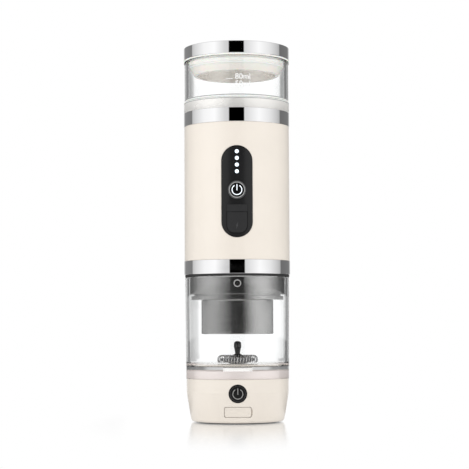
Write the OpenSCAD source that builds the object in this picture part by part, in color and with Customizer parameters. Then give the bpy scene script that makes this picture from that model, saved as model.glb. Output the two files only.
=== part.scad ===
// Portable electric espresso maker standing on its frother cup. Sizes in millimetres.
// The front faces -Y, the floor is z = 0 and the axis of the stack is x = y = 0.

/* [Overall] */
// Outside diameter of the chrome rings and the cap
body_d = 70; // [69:0.5:78]
// Clearance between fixed pieces that fit into one another
fit_gap = 0.1; // [0.05:0.01:0.15]
// Clearance between pieces that move past one another
run_gap = 0.3; // [0.2:0.05:0.35]

/* [Frother base] */
// Height of the base up to the seam under the cup
base_h = 28.5; // [27.5:0.5:34]
// Radial step from the cup in to the base
base_step = 0.3; // [0.2:0.1:1]
// How far the base narrows toward the floor on each side
base_taper = 2.9; // [2:0.1:3.4]
// Height at which the taper starts
base_taper_h = 20; // [18:0.5:24]
// Rounding of the lower edge
base_edge_r = 2; // [1:0.1:2.4]
// Wall of the base
base_wall = 2.2; // [1.9:0.1:2.6]
// How far the rubber foot stands out below the base
foot_proud = 0.6; // [0.4:0.1:1]
// Thickness of the bottom plate
plate_t = 2.6; // [2.4:0.1:3.2]
// Height of the base button above the floor
base_button_z = 19.6; // [18:0.2:20.6]
// Diameter of the base button
base_button_d = 11.6; // [10:0.2:12.6]
// Height of the middle of the base charge flap
base_port_z = 7.8; // [7.6:0.1:8.4]
// Width of the base charge flap
base_flap_w = 17; // [15:0.5:19]
// Height of the base charge flap
base_flap_h = 6.2; // [6:0.1:7]
// Width of the fingernail notch beside the base charge flap
nail_w = 0.8; // [0.6:0.1:1.6]
// Height of that notch
nail_h = 4.4; // [3.6:0.1:5]
// Depth of that notch
nail_d = 0.9; // [0.6:0.05:1]
// Thickness of both charge flaps
flap_t = 1.2; // [1:0.05:1.3]
// Travel of both buttons
press = 0.6; // [0.3:0.1:0.8]
// Height of the stirrer motor
motor_h = 19; // [14:0.5:20]
// Diameter of the stirrer motor
motor_d = 17; // [14:0.2:18.4]
// Diameter of the disc that carries the stirrer's magnets
rotor_d = 18; // [14:0.5:22]

/* [Frother cup] */
// Height of the cup from the seam to the rim
cup_h = 66.5; // [64:0.5:80]
// Radial step from the chrome ring in to the rim of the cup
cup_inset = 0.55; // [0.2:0.05:0.8]
// How far the cup narrows toward the base on each side
cup_draft = 0.55; // [0.3:0.05:1.4]
// Wall of the cup
cup_wall = 2.4; // [2:0.1:2.8]
// Thickness of the floor of the cup
cup_floor = 3.2; // [2.8:0.1:4]
// Height of the clear skirt over the base collar
skirt_h = 4.8; // [4:0.1:6]
// Diameter of the round seat that lifts the drive toward the whisk
drive_d = 12.4; // [10:0.2:16]
// Height of that seat
drive_h = 1.7; // [1:0.1:1.9]

/* [Whisk] */
// Radius of the hoop that the coil is wound round
whisk_r = 10.5; // [10:0.1:12]
// Radius of the coil round the hoop, to the middle of the wire
coil_r = 2.8; // [2.4:0.1:3]
// Diameter of the wire
wire_d = 0.6; // [0.5:0.02:0.64]
// Curls in each of the three runs of the coil
coil_turns = 11; // [8:1:11]
// Diameter of the knob
knob_d = 4.9; // [4.4:0.1:6]
// Height of the knob above the coil
knob_h = 9; // [7:0.5:10]

/* [Brewing group] */
// How far the brew collar reaches down into the cup
collar_drop = 11.6; // [9.8:0.1:13]
// Gap between the brew collar and the flange of the portafilter
flange_gap = 0.9; // [0.4:0.1:1.2]
// Thickness of that flange
flange_t = 2.6; // [2.4:0.1:4]
// Depth of the portafilter below its flange
pf_depth = 22.3; // [18:0.1:24]
// Diameter of the portafilter
pf_d = 47.6; // [46:0.2:50]
// Diameter of the bore for the filter basket
basket_d = 44.4; // [41:0.2:45]
// Angle that each bayonet lug covers
lug_a = 24; // [18:1:30]
// Angle of the bayonet twist
twist_a = 40; // [35:1:50]
// Thickness of the black gasket under the lower ring
cup_gasket_h = 1.5; // [1.3:0.1:3]

/* [Body] */
// Height of the lower chrome ring
low_ring_h = 9; // [7.6:0.1:10]
// Height of the cream body between the rings
body_h = 88.9; // [87.5:0.1:105]
// Height of the upper chrome ring
up_ring_h = 9.1; // [8:0.1:11]
// Wall of the chrome rings
ring_wall = 1.8; // [1.6:0.1:2]
// Rounding of the edges of the chrome rings
ring_edge_r = 0.15; // [0.1:0.05:0.4]
// Radial step from the chrome rings in to the cream body
shell_inset = 0.25; // [0.1:0.05:0.5]
// Wall of the cream body
shell_wall = 3; // [2.7:0.1:3.3]

/* [Control panel] */
// Width of the panel across the front
panel_w = 20; // [19:0.2:23]
// Height of the panel
panel_h = 59.2; // [57:0.5:66]
// Height of the panel above the lower ring
panel_lift = 14.1; // [12:0.1:18]
// Diameter of the power button
button_d = 9; // [8:0.1:9.4]
// Outside diameter of the light ring round the button
halo_d = 11.9; // [11.2:0.1:12.4]
// Diameter of the light guides
guide_d = 2.4; // [2:0.1:3.2]
// Distance between the light guides
guide_pitch = 4.3; // [4:0.1:4.6]
// Width of the charge flap
flap_w = 12.8; // [11.6:0.2:13.4]
// Height of the moving part of the charge flap
flap_h = 13.2; // [12:0.2:14]
// Height of the strap that the flap hangs from
strap_h = 4.6; // [3:0.2:5]

/* [Tank and cap] */
// Height of the tank above the upper ring
tank_h = 34.4; // [31:0.5:50]
// Radial step from the chrome ring in to the tank wall
tank_inset = 0.4; // [0.2:0.05:0.8]
// Wall of the tank
tank_wall = 2.5; // [2.1:0.1:2.8]
// Height of the thick collar at the foot of the tank
tank_collar_h = 7.4; // [6.6:0.1:9]
// Thickness of the white gasket under the cap
cap_gasket_h = 1; // [0.9:0.1:2.5]
// Height of the chrome cap
cap_h = 8; // [6:0.1:10]
// Rounding of the upper edge of the cap
cap_edge_r = 0.35; // [0.2:0.05:1]
// How far the plug reaches into the tank
plug_h = 9.3; // [7.6:0.1:12]
// Height of the seal sleeve round the plug
seal_h = 4.6; // [4.4:0.1:5.4]

/* [Inside] */
// Diameter of a battery cell
cell_d = 18.4; // [16:0.1:18.6]
// Length of a battery cell
cell_l = 65.2; // [55:0.5:66]
// Diameter of the pump
pump_d = 16; // [14:0.5:21]
// Length of the pump
pump_l = 50; // [46:0.5:58]
// Width of the control board
board_w = 18; // [15:0.5:19]
// Width of the board in the base
base_board_w = 22; // [18:0.5:23]
// Height of the board in the base
base_board_h = 22; // [18:0.5:23]
// Length of the flat cell in the base
base_cell_l = 25; // [22:0.5:27]
// Thickness of the flat cell in the base
base_cell_t = 7; // [5:0.5:8]
// Height of the flat cell in the base
base_cell_h = 17; // [14:0.5:18]
// Width of the bracket over the stirrer motor
bracket_w = 8; // [7:0.5:9]
// Diameter of the raised nose on the stirrer motor
motor_nose_d = 6; // [5:0.5:7]
// Thickness of both boards
board_t = 1.4; // [1.2:0.1:1.6]
// Diameter of the screw shanks
screw_d = 2.3; // [2:0.05:2.5]
// Length of the screw shanks
screw_l = 7; // [6:0.1:8]
// Height of the screw heads
screw_head_h = 1.2; // [1:0.1:1.4]

/* [Hidden] */
$fn = 96;
e = 0.01;
R = body_d/2;
shell_r = R - shell_inset;
bore_r = shell_r - shell_wall;
ring_ir = R - ring_wall;
spigot_r = ring_ir - fit_gap;
cup_top_r = R - cup_inset;
cup_bot_r = cup_top_r - cup_draft;
base_r = cup_bot_r - base_step;
foot_r = base_r - base_taper;
base_collar_r = cup_bot_r - cup_wall - fit_gap;

z_plate = foot_proud + plate_t;
z_edge = foot_proud + base_edge_r;
z_seam = base_h;
z_floor0 = z_seam + skirt_h;
z_floor1 = z_floor0 + cup_floor;
z_deck1 = z_floor0 - fit_gap;
deck_t = 1.6;
z_deck0 = z_deck1 - deck_t;
z_rim = z_seam + cup_h;
z_ring0 = z_rim + cup_gasket_h;
z_ring1 = z_ring0 + low_ring_h;
z_body1 = z_ring1 + body_h;
z_up1 = z_body1 + up_ring_h;
z_tank1 = z_up1 + tank_h;
z_cap0 = z_tank1 + cap_gasket_h;
z_top = z_cap0 + cap_h;

function base_or(z) = z >= base_taper_h ? base_r
    : base_r - base_taper*pow((base_taper_h - z)/(base_taper_h - z_edge), 1.15);
function cup_ir(z) = cup_bot_r + cup_draft*(z - z_seam)/cup_h - cup_wall;

// Base, inside
plate_r = foot_r - base_edge_r - 1.2;
foot_ri = plate_r - 6.7;
foot_ro = plate_r - 2.2;
groove = 1.2;
screw_seat_r = 2.6;
screw_r = screw_d/2;
boss_xy = (foot_ri - screw_seat_r - 0.93)/sqrt(2);
z_motor1 = z_plate + motor_h;
bracket_x = motor_d/2 + 7.8;
bracket_t = 2;
rotor_r = rotor_d/2;
rotor_h = 4;
z_rotor1 = z_deck0 - run_gap - 0.2;
z_rotor0 = z_rotor1 - rotor_h;
shaft_r = 1;
usb_w = 9;
usb_h = 3.3;
base_mouth_y = -(base_or(base_port_z) - base_wall - 0.3);
base_board_y = base_mouth_y + 6;
base_switch_y = base_board_y - 4;
base_cap_y = -(base_r - base_wall - 1.6);

// Whisk
post_r = 1.6;
coil_z = z_floor1 + 4.3;
z_hub0 = z_floor1 + 0.4;
z_post = coil_z + 0.6;
hub_r = whisk_r - coil_r - wire_d/2 - 0.4;
z_knob = coil_z + coil_r + wire_d/2 + knob_h;
spoke_w = 2.2;

// Brewing group
lip_t = 1.2;
collar_r = cup_ir(z_rim) - 0.7;
collar_ir = collar_r - 2.5;
z_col0 = z_rim - collar_drop;
z_lip1 = z_ring0 + lip_t;
z_cf1 = z_lip1 + 2.9;
z_bh1 = z_cf1 + 3;
z_deck_lo = z_bh1 + 2.9;
z_head0 = z_ring0 - 3;
z_fl1 = z_col0 - flange_gap;
z_fl0 = z_fl1 - flange_t;
z_pf0 = z_fl0 - pf_depth;
flange_r = collar_r - 0.9;
neck_r = collar_ir - run_gap;
seal_t = 1.6;
z_brim1 = z_head0 - seal_t - 0.15;
z_brim0 = z_brim1 - 0.8;
z_neck1 = z_head0 - 0.7;
rim_r = neck_r - 1;
gasket_w = 5.35;
gasket_ro = rim_r - 0.4;
gasket_ri = gasket_ro - gasket_w;
screen_r = gasket_ri - 0.4;
screen_edge = 2.6;
pf_floor = 2.4;
z_basket0 = z_pf0 + pf_floor + 2.2;
lug_r = neck_r + 1.4;
lug_h = 3;
z_lug0 = z_col0 + 3;
lug_at = [60, 180, 300];

// Body
cell_c = bore_r - fit_gap - cell_d/2 - 1.2;
panel_z0 = z_ring1 + panel_lift;
panel_z1 = panel_z0 + panel_h;
panel_zc = (panel_z0 + panel_z1)/2;
button_z = panel_z1 - 28.7;
guide_top = panel_z1 - 3.9;
flap_z0 = panel_z0 + 3;
flap_z1 = flap_z0 + flap_h;
strap_z0 = flap_z1 + run_gap;
port_z = flap_z0 + 4.6;
recess_r = R - flap_t - fit_gap;
panel_back = bore_r - 1.2;
board_y = -(bore_r - 8.2);
switch_y = board_y - 2.6;
switch_w = 6;
board_screw_r = 2;
board_screw_z = [panel_z0 + board_screw_r, button_z + switch_w/2 + board_screw_r + 0.7];
flange_y = -(sqrt(pow(panel_back, 2) - pow(halo_d/2 + 0.8, 2)) - 0.1);
z_cell0 = z_deck_lo + 0.8;
z_cell1 = z_cell0 + cell_l;
z_pump1 = z_deck_lo + pump_l;
nip_r = 3;
plunger_r = 3;
plunger_fit = 0.1;
tube_r = plunger_r + plunger_fit + 1.5;
spring_r = plunger_r - 1;
spring_wire = 0.7;
z_bore0 = z_deck_lo + 4;
z_bore1 = z_pump1 - 6;
plunger_l = 24;
z_plunger = z_bore0 + 10;

// Tank
tank_r = R - tank_inset;
tank_ir = tank_r - tank_wall;
z_neck0 = z_body1 + 3.6;
z_seat1 = z_neck0 - 1;
z_seat0 = z_seat1 - 5.6;
z_liner = z_up1 + tank_collar_h - 0.6;
liner_r = tank_ir - fit_gap;
liner_ir = liner_r - 1.4;
heater_w = 8.8;
heater_ro = liner_ir - 3.2;
heater_ri = heater_ro - heater_w;
heater_d = 3.2;
sensor_h = 0.6;
z_nip0 = z_seat0 - 8;
seal_lip_r = tank_ir - run_gap;
plug_r1 = seal_lip_r - 1.9;
plug_r2 = seal_lip_r - 1;
plug_r0 = seal_lip_r - 3.5;
plug_wall = 2.2;
z_plug0 = z_tank1 - plug_h;
z_seal1 = z_tank1 - fit_gap;
z_seal0 = z_seal1 - seal_h;

function arc(cr, cz, r, a0, a1, n = 6) =
    [for (i = [0:n]) [cr + r*cos(a0 + (a1 - a0)*i/n), cz + r*sin(a0 + (a1 - a0)*i/n)]];

module turn(pts) {
    rotate_extrude() polygon(pts);
}

// A ring with rounded outer edges
module band(ri, ro, z0, z1, er) {
    turn(concat(
        [[ri, z0]],
        arc(ro - er, z0 + er, er, -90, 0),
        arc(ro - er, z1 - er, er, 0, 90),
        [[ri, z1]]));
}

module tube(ri, ro, z0, z1) {
    turn([[ri, z0], [ro, z0], [ro, z1], [ri, z1]]);
}

module rod(r, z0, z1) {
    translate([0, 0, z0]) cylinder(r = r, h = z1 - z0);
}

// A flat outline in x and z, carried through from y0 back to y1
module through(y0, y1, z) {
    translate([0, y1, z]) rotate([90, 0, 0]) linear_extrude(y1 - y0) children();
}

module pill(w, h) {
    square([w, h - w], center = true);
    translate([0, (h - w)/2]) circle(d = w);
    translate([0, -(h - w)/2]) circle(d = w);
}

module rounded(w, h, r) {
    square([w - 2*r, h], center = true);
    square([w, h - 2*r], center = true);
    for (sx = [-1, 1])
        for (sy = [-1, 1])
            translate([sx*(w/2 - r), sy*(h/2 - r)]) circle(r = r);
}

module slot(w, h) {
    square([w - h, h], center = true);
    translate([(w - h)/2, 0]) circle(d = h);
    translate([-(w - h)/2, 0]) circle(d = h);
}

// A pan-head screw along +z with its head underneath
module screw(head_r, head_h, shank_r, shank_l) {
    difference() {
        union() {
            cylinder(r = head_r, h = head_h);
            cylinder(r = shank_r, h = head_h + shank_l);
        }
        translate([-head_r*0.7, -0.25, -e]) cube([head_r*1.4, 0.5, 0.6]);
        translate([-0.25, -head_r*0.7, -e]) cube([0.5, head_r*1.4, 0.6]);
    }
}

function unit(v) = v/norm(v);

// A round wire along a path, each ring set square to it; side[i] points away from the inside of the curl
module wire(path, side, r) {
    n = len(path);
    k = 6;
    t = [for (i = [0:n - 1]) unit(path[min(i + 1, n - 1)] - path[max(i - 1, 0)])];
    u = [for (i = [0:n - 1]) unit(side[i] - (side[i]*t[i])*t[i])];
    pts = [for (i = [0:n - 1])
        for (j = [0:k - 1])
            path[i] + r*cos(360*j/k)*u[i] + r*sin(360*j/k)*cross(t[i], u[i])];
    body = [for (i = [0:n - 2])
        for (j = [0:k - 1])
            each [[i*k + j, (i + 1)*k + j, i*k + (j + 1)%k],
                  [i*k + (j + 1)%k, (i + 1)*k + j, (i + 1)*k + (j + 1)%k]]];
    ends = [for (j = [1:k - 2])
        each [[0, j, j + 1], [(n - 1)*k, (n - 1)*k + j + 1, (n - 1)*k + j]]];
    polyhedron(pts, concat(body, ends));
}

// Base outline from the lower edge up to the seam, moved out by off
function base_outline(off) = concat(
    [for (p = arc(foot_r - base_edge_r, z_edge, base_edge_r, -90, 0)) p + [off, 0]],
    [for (i = [1:8]) let (z = z_edge + (base_taper_h - z_edge)*i/8) [base_or(z) + off, z]],
    [[base_r + off, z_seam]]);

module base_solid(off) {
    turn(concat([[0, foot_proud]], base_outline(off), [[0, z_seam]]));
}

module base_flap_cut(gap, depth) {
    intersection() {
        difference() {
            base_solid(gap);
            base_solid(-depth);
        }
        through(-R, 0, base_port_z) rounded(base_flap_w + 2*gap, base_flap_h + 2*gap, 1.2);
    }
}

// The notch runs in under the edge of the flap
module base_nail_cut() {
    intersection() {
        difference() {
            base_solid(1);
            base_solid(-nail_d);
        }
        through(-R, 0, base_port_z) translate([base_flap_w/2, 0]) rounded(2*nail_w, nail_h, nail_w*0.95);
    }
}

module cap_shell() {
    color([0.85, 0.85, 0.86]) turn(concat(
        [[R - 1.4, z_cap0], [R - 0.15, z_cap0], [R, z_cap0 + 0.15]],
        arc(R - cap_edge_r, z_top - cap_edge_r, cap_edge_r, 0, 90),
        [[0, z_top], [0, z_top - 1.4], [R - 1.4, z_top - 1.4]]));
}

module cap_plug() {
    z_h = z_tank1 - 2.5;
    er = 0.6;
    color([0.93, 0.91, 0.87]) turn(concat(
        [[0, z_h], [plug_r0 - plug_wall - 0.4, z_h], [plug_r0 - plug_wall, z_plug0]],
        arc(plug_r0 - er, z_plug0 + er, er, -90, 0),
        [[plug_r2, z_seal0 - fit_gap], [plug_r1, z_seal0 - fit_gap], [plug_r1, z_cap0],
         [R - 1.4 - fit_gap, z_cap0], [R - 1.4 - fit_gap, z_top - 1.4], [0, z_top - 1.4]]));
}

// A sleeve with two lips, whose root widens upward
module cap_seal() {
    ri = plug_r1 + fit_gap;
    r0 = plug_r2;
    r1 = seal_lip_r - 0.5;
    rl = seal_lip_r - 0.3;
    color([0.95, 0.94, 0.91]) turn([
        [ri, z_seal0], [r0, z_seal0], [r0 + 0.15, z_seal0 + 0.7], [rl, z_seal0 + 1.1], [rl, z_seal0 + 1.7],
        [r1 - 0.1, z_seal0 + 2.1], [r1 - 0.05, z_seal0 + 2.9], [seal_lip_r, z_seal0 + 3.2],
        [seal_lip_r, z_seal0 + 3.8], [r1, z_seal0 + 4.2], [r1, z_seal1], [ri, z_seal1]]);
}

module cap_gasket() {
    color([0.97, 0.97, 0.95]) band(plug_r1 + fit_gap, R - 0.1, z_tank1, z_cap0, 0.3);
}

module tank() {
    z_c1 = z_up1 + tank_collar_h;
    color([0.8, 0.88, 0.92, 0.35]) turn(concat(
        [[tank_ir, z_neck0], [spigot_r, z_neck0], [spigot_r, z_up1], [R - 0.3, z_up1],
         [R - 0.05, z_up1 + 0.25], [R - 0.05, z_c1 - 0.5], [tank_r, z_c1], [tank_r, z_tank1 - 1.7]],
        arc(R - 0.45, z_tank1 - 1.1, 0.4, -60, 0, 3),
        arc(R - 0.45, z_tank1 - 0.4, 0.4, 0, 90, 4),
        [[tank_ir + 0.4, z_tank1], [tank_ir, z_tank1 - 0.4]]));
}

module heater_seat() {
    rb = bore_r - fit_gap;
    color([0.94, 0.92, 0.88]) turn([
        [1.3, z_nip0], [nip_r, z_nip0], [nip_r, z_seat0], [rb, z_seat0], [rb, z_neck0], [liner_r, z_neck0],
        [liner_r, z_neck0 + 1.2], [liner_r - 0.9, z_neck0 + 1.2], [liner_r - 0.9, z_neck0 + 2.8],
        [liner_r, z_neck0 + 2.8], [liner_r, z_liner - 0.4], [liner_r - 0.4, z_liner], [liner_ir, z_liner],
        [liner_ir, z_seat1], [heater_ro, z_seat1],
        [heater_ro, z_seat1 - heater_d], [heater_ri, z_seat1 - heater_d],
        [heater_ri, z_seat1], [1.3, z_seat1]]);
}

module tank_seal() {
    color([0.75, 0.2, 0.15]) rotate_extrude()
        translate([liner_r - 0.4, z_neck0 + 2]) circle(r = 0.42, $fn = 32);
}

module heater_plate() {
    r = liner_ir - fit_gap;
    color([0.78, 0.79, 0.8]) turn(concat(
        [[1.6, z_seat1], [r, z_seat1]],
        arc(r - 0.5, z_seat1 + 0.7, 0.5, 0, 90),
        [[r - 3, z_seat1 + 1.2], [r - 4, z_seat1 + 0.8], [1.6, z_seat1 + 0.8]]));
}

module heater_ring() {
    color([0.35, 0.35, 0.37])
        tube(heater_ri + fit_gap, heater_ro - fit_gap, z_seat1 - heater_d + sensor_h, z_seat1);
}

module temp_sensor() {
    color([0.8, 0.72, 0.4]) translate([(heater_ri + heater_ro)/2, 0, 0])
        rod(2, z_seat1 - heater_d, z_seat1 - heater_d + sensor_h);
}

module upper_ring() {
    color([0.85, 0.85, 0.86]) band(ring_ir, R, z_body1, z_up1, ring_edge_r);
}

module body_shell() {
    color([0.93, 0.9, 0.84]) difference() {
        turn([[bore_r, z_cf1], [spigot_r, z_cf1], [spigot_r, z_ring1], [shell_r - 0.2, z_ring1],
              [shell_r, z_ring1 + 0.2], [shell_r, z_body1 - 0.2], [shell_r - 0.2, z_body1],
              [spigot_r, z_body1], [spigot_r, z_neck0], [bore_r, z_neck0]]);
        through(-R - 1, 0, panel_zc) pill(panel_w + 2*fit_gap, panel_h + 2*fit_gap);
    }
}

module lower_ring() {
    color([0.85, 0.85, 0.86]) turn(concat(
        [[collar_r + 0.15, z_ring0]],
        arc(R - ring_edge_r, z_ring0 + ring_edge_r, ring_edge_r, -90, 0),
        arc(R - ring_edge_r, z_ring1 - ring_edge_r, ring_edge_r, 0, 90),
        [[ring_ir, z_ring1], [ring_ir, z_lip1], [collar_r + 0.15, z_lip1]]));
}

module cup_gasket() {
    color([0.1, 0.1, 0.1]) band(collar_r + 0.15, R - 0.6, z_rim, z_ring0, 0.3);
}

module panel_skin(r0, r1) {
    difference() {
        rod(r1, panel_z0 - 4, panel_z1 + 4);
        rod(r0, panel_z0 - 5, panel_z1 + 5);
    }
}

// Outline of the moving flap, round at its lower corners
module flap_outline(gap) {
    r = 4.6;
    w = flap_w + 2*gap;
    h = flap_h + 2*gap;
    translate([-w/2, -h/2 + r]) square([w, h - r]);
    translate([-w/2 + r, -h/2]) square([w - 2*r, r + 1]);
    for (s = [-1, 1])
        translate([s*(w/2 - r), -h/2 + r]) circle(r = r);
}

module control_panel() {
    zs = strap_z0 + strap_h/2;
    color([0.07, 0.07, 0.075]) difference() {
        union() {
            intersection() {
                panel_skin(panel_back, R);
                through(-R - 1, 0, panel_zc) pill(panel_w, panel_h);
            }
            intersection() {
                panel_skin(panel_back, bore_r - fit_gap);
                through(-R - 1, 0, panel_zc) pill(panel_w + 3.2, panel_h + 3.2);
            }
        }
        for (i = [0:3])
            through(-R - 1, 0, guide_top - i*guide_pitch) circle(d = guide_d + 2*fit_gap);
        through(-R - 1, 0, button_z) circle(d = halo_d + 2*fit_gap);
        intersection() {
            panel_skin(recess_r, R + 1);
            union() {
                through(-R - 1, 0, (flap_z0 + flap_z1)/2) flap_outline(run_gap);
                through(-R - 1, 0, zs) square([flap_w + 2*fit_gap, strap_h + 2*fit_gap], center = true);
            }
        }
        through(-R - 1, 0, port_z) slot(usb_w + 0.8, usb_h + 0.8);
    }
}

module light_guides() {
    color([0.9, 0.95, 1]) intersection() {
        rod(R, panel_z0, panel_z1);
        for (i = [0:3])
            through(-R - 1, -bore_r + 3, guide_top - i*guide_pitch) circle(d = guide_d);
    }
}

module button_halo() {
    color([0.75, 0.76, 0.78]) difference() {
        intersection() {
            rod(R, panel_z0, panel_z1);
            union() {
                through(-R - 1, flange_y + 1, button_z) circle(d = halo_d);
                through(flange_y, flange_y + 1, button_z) circle(d = halo_d + 1.6);
            }
        }
        through(-R - 2, 0, button_z) circle(d = button_d + run_gap);
    }
}

module power_button() {
    y1 = flange_y + 1 + 0.1;
    color([0.06, 0.06, 0.065]) intersection() {
        rod(R - 0.05, panel_z0, panel_z1);
        union() {
            through(-R - 1, y1 + 1, button_z) circle(d = button_d);
            through(y1, y1 + 1, button_z) circle(d = button_d + 1.2);
            through(y1, switch_y - press - 0.05, button_z) circle(d = 3.4);
        }
    }
}

module flap_strap() {
    color([0.2, 0.2, 0.21]) intersection() {
        panel_skin(recess_r + fit_gap, R - 0.05);
        through(-R - 1, 0, strap_z0 + strap_h/2) square([flap_w, strap_h], center = true);
    }
}

module port_flap() {
    color([0.2, 0.2, 0.21]) union() {
        intersection() {
            panel_skin(recess_r + fit_gap, R - 0.05);
            through(-R - 1, 0, (flap_z0 + flap_z1)/2) flap_outline(0);
        }
        intersection() {
            rod(R - flap_t/2, panel_z0, panel_z1);
            through(-R, -recess_r + 1.4, port_z) slot(usb_w - 0.8, usb_h - 1);
        }
    }
}

// A charge socket with its mouth at y0 and its back at y1
module socket(y0, y1, z) {
    difference() {
        through(y0, y1, z) slot(usb_w, usb_h);
        through(y0 - e, y1 - 1, z) slot(usb_w - 0.7, usb_h - 0.7);
    }
    through(y0 + 0.8, y1 - 0.5, z) square([usb_w - 2.3, 0.7], center = true);
}

module charge_socket() {
    color([0.75, 0.75, 0.77]) socket(-(recess_r - 2.4), board_y, port_z);
}

module board_hole_cut(z) {
    through(board_y - 1, board_y + board_t + 1, z) circle(r = screw_r + 0.05);
}

module control_board() {
    color([0.1, 0.35, 0.2]) difference() {
        translate([-board_w/2, board_y, z_deck_lo + 4]) cube([board_w, board_t, panel_z1 - z_deck_lo - 6]);
        for (z = board_screw_z)
            board_hole_cut(z);
    }
}

module panel_switch() {
    color([0.2, 0.2, 0.2]) union() {
        translate([-switch_w/2, board_y - 1.9, button_z - switch_w/2]) cube([switch_w, 1.9, switch_w]);
        through(switch_y, board_y - 1, button_z) circle(d = 3);
    }
}

module board_screws() {
    color([0.6, 0.6, 0.62])
        for (z = board_screw_z)
            translate([0, board_y - screw_head_h, z]) rotate([-90, 0, 0])
                screw(board_screw_r, screw_head_h, screw_r - 0.05, screw_l - 2);
}

module chassis() {
    post_y = board_y + board_t + 3.8;
    color([0.3, 0.31, 0.33]) difference() {
        union() {
            rod(bore_r - fit_gap, z_bh1, z_deck_lo);
            rod(bore_r - fit_gap, z_cell1, z_cell1 + 2.4);
            for (a = [30, 150])
                rotate([0, 0, a]) translate([bore_r - 5, 0, 0]) rod(2.6, z_deck_lo - e, z_cell1 + e);
            translate([0, post_y, 0]) rod(2.4, z_deck_lo - e, z_cell1 + e);
            for (z = board_screw_z)
                through(board_y + board_t, post_y, z) circle(d = 4.4);
            for (a = [90, 210, 330])
                rotate([0, 0, a]) translate([cell_c, 0, 0])
                    tube_on(cell_d/2 + fit_gap, cell_d/2 + fit_gap + 0.9, z_deck_lo - e, z_cell0 + 3);
        }
        rod(nip_r + 0.4, z_bh1 - 1, z_deck_lo + 1);
        rod(8, z_cell1 - 1, z_cell1 + 4);
        translate([-15, -bore_r - 1, z_cell1 - 1]) cube([30, bore_r + 1 + board_y + board_t + 0.4, 5]);
        rod(pump_d/2 + 0.5, z_deck_lo, z_cell0 + 10);
        for (z = board_screw_z)
            through(board_y, board_y + screw_l - 1, z) circle(r = screw_r);
    }
}

module tube_on(ri, ro, z0, z1) {
    difference() {
        rod(ro, z0, z1);
        rod(ri, z0 + e, z1 + 1);
    }
}

module battery_cells() {
    color([0.25, 0.5, 0.75])
        for (a = [90, 210, 330])
            rotate([0, 0, a]) translate([cell_c, 0, 0]) union() {
                rod(cell_d/2, z_deck_lo, z_cell1 - 1.2);
                rod(cell_d/2 - 5.5, z_deck_lo + 1, z_cell1);
            }
}

module inlet_hose() {
    color([0.9, 0.9, 0.88]) tube(nip_r + 0.05, nip_r + 2, z_pump1, z_seat0);
}

module pump_body() {
    color([0.85, 0.85, 0.83]) turn([
        [1.3, z_bh1 - 2.6], [nip_r, z_bh1 - 2.6], [nip_r, z_deck_lo], [pump_d/2, z_deck_lo],
        [pump_d/2, z_deck_lo + 2.4], [tube_r, z_deck_lo + 2.4], [tube_r, z_pump1 - 2],
        [nip_r, z_pump1], [nip_r, z_pump1 + 9], [1.3, z_pump1 + 9], [1.3, z_bore1],
        [plunger_r + plunger_fit, z_bore1], [plunger_r + plunger_fit, z_bore0], [1.3, z_bore0]]);
}

module pump_coil() {
    color([0.7, 0.4, 0.2]) tube(tube_r + 0.05, pump_d/2 - 1.6, z_deck_lo + 4.4, z_bore1 - 2);
}

module pump_frame() {
    color([0.5, 0.5, 0.52]) difference() {
        rod(pump_d/2, z_deck_lo + 2.4, z_bore1);
        rod(tube_r + 0.05, z_deck_lo, z_bore1 + 1);
        tube(tube_r, pump_d/2 - 1.55, z_deck_lo + 4.4, z_bore1 - 2);
    }
}

module pump_plunger() {
    color([0.65, 0.65, 0.68]) tube(1.2, plunger_r, z_plunger, z_plunger + plunger_l);
}

module pump_spring() {
    turns = 5;
    lead = 1.6;
    lo = z_bore0 + 0.05;
    hi = z_plunger - 0.05;
    n = turns*8;
    path = [for (i = [0:n])
        [spring_r*cos(i*45), spring_r*sin(i*45), lo + lead + (hi - lo - 2*lead)*i/n]];
    side = [for (i = [0:n]) [cos(i*45), sin(i*45), 0]];
    back = [0, 0.3, 0];
    up = [0, 0, 1];
    color([0.6, 0.6, 0.62]) wire(
        concat([path[0] - back - lead*up, path[0] - back - 0.6*up], path,
            [path[n] + back + 0.6*up, path[n] + back + lead*up]),
        concat([side[0], side[0]], side, [side[n], side[n]]), spring_wire/2);
}

module outlet_seal() {
    color([0.75, 0.2, 0.15]) tube(nip_r + 0.05, nip_r + 1.2, z_bh1 - 1.6, z_bh1);
}

module collar_groove(z0, z1, a0, a1, r) {
    rotate([0, 0, a0]) rotate_extrude(angle = a1 - a0)
        translate([collar_ir - 0.5, z0]) square([r - collar_ir + 0.5, z1 - z0]);
}

module brew_collar() {
    gap_a = 1.2;
    color([0.4, 0.4, 0.41]) difference() {
        turn(concat(
            [[collar_ir, z_col0]],
            arc(collar_r - 0.25, z_col0 + 0.25, 0.25, -90, 0),
            [[collar_r, z_lip1], [spigot_r, z_lip1], [spigot_r, z_cf1], [collar_ir, z_cf1]]));
        for (a = lug_at) {
            collar_groove(z_lug0 - run_gap, z_lug0 + lug_h + run_gap,
                a - lug_a/2 - gap_a, a + twist_a + lug_a/2 + gap_a, lug_r + run_gap);
            // The way in is a little wider and deeper than the twist groove, so their faces never coincide
            collar_groove(z_col0 - 1, z_lug0 + lug_h,
                a + twist_a - lug_a/2 - gap_a, a + twist_a + lug_a/2 + gap_a + 0.4, lug_r + run_gap + 0.1);
        }
    }
}

module brew_head() {
    ri = screen_r - screen_edge;
    color([0.2, 0.2, 0.21]) turn([
        [1.5, z_head0 + 1.2], [ri, z_head0 + 1.2], [ri, z_head0], [gasket_ro, z_head0], [gasket_ro, z_cf1],
        [bore_r - fit_gap, z_cf1], [bore_r - fit_gap, z_bh1],
        [nip_r + 1.3, z_bh1], [nip_r + 1.3, z_bh1 - 1.6],
        [nip_r + 0.1, z_bh1 - 1.6], [nip_r + 0.1, z_bh1 - 3], [1.5, z_bh1 - 3]]);
}

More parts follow.
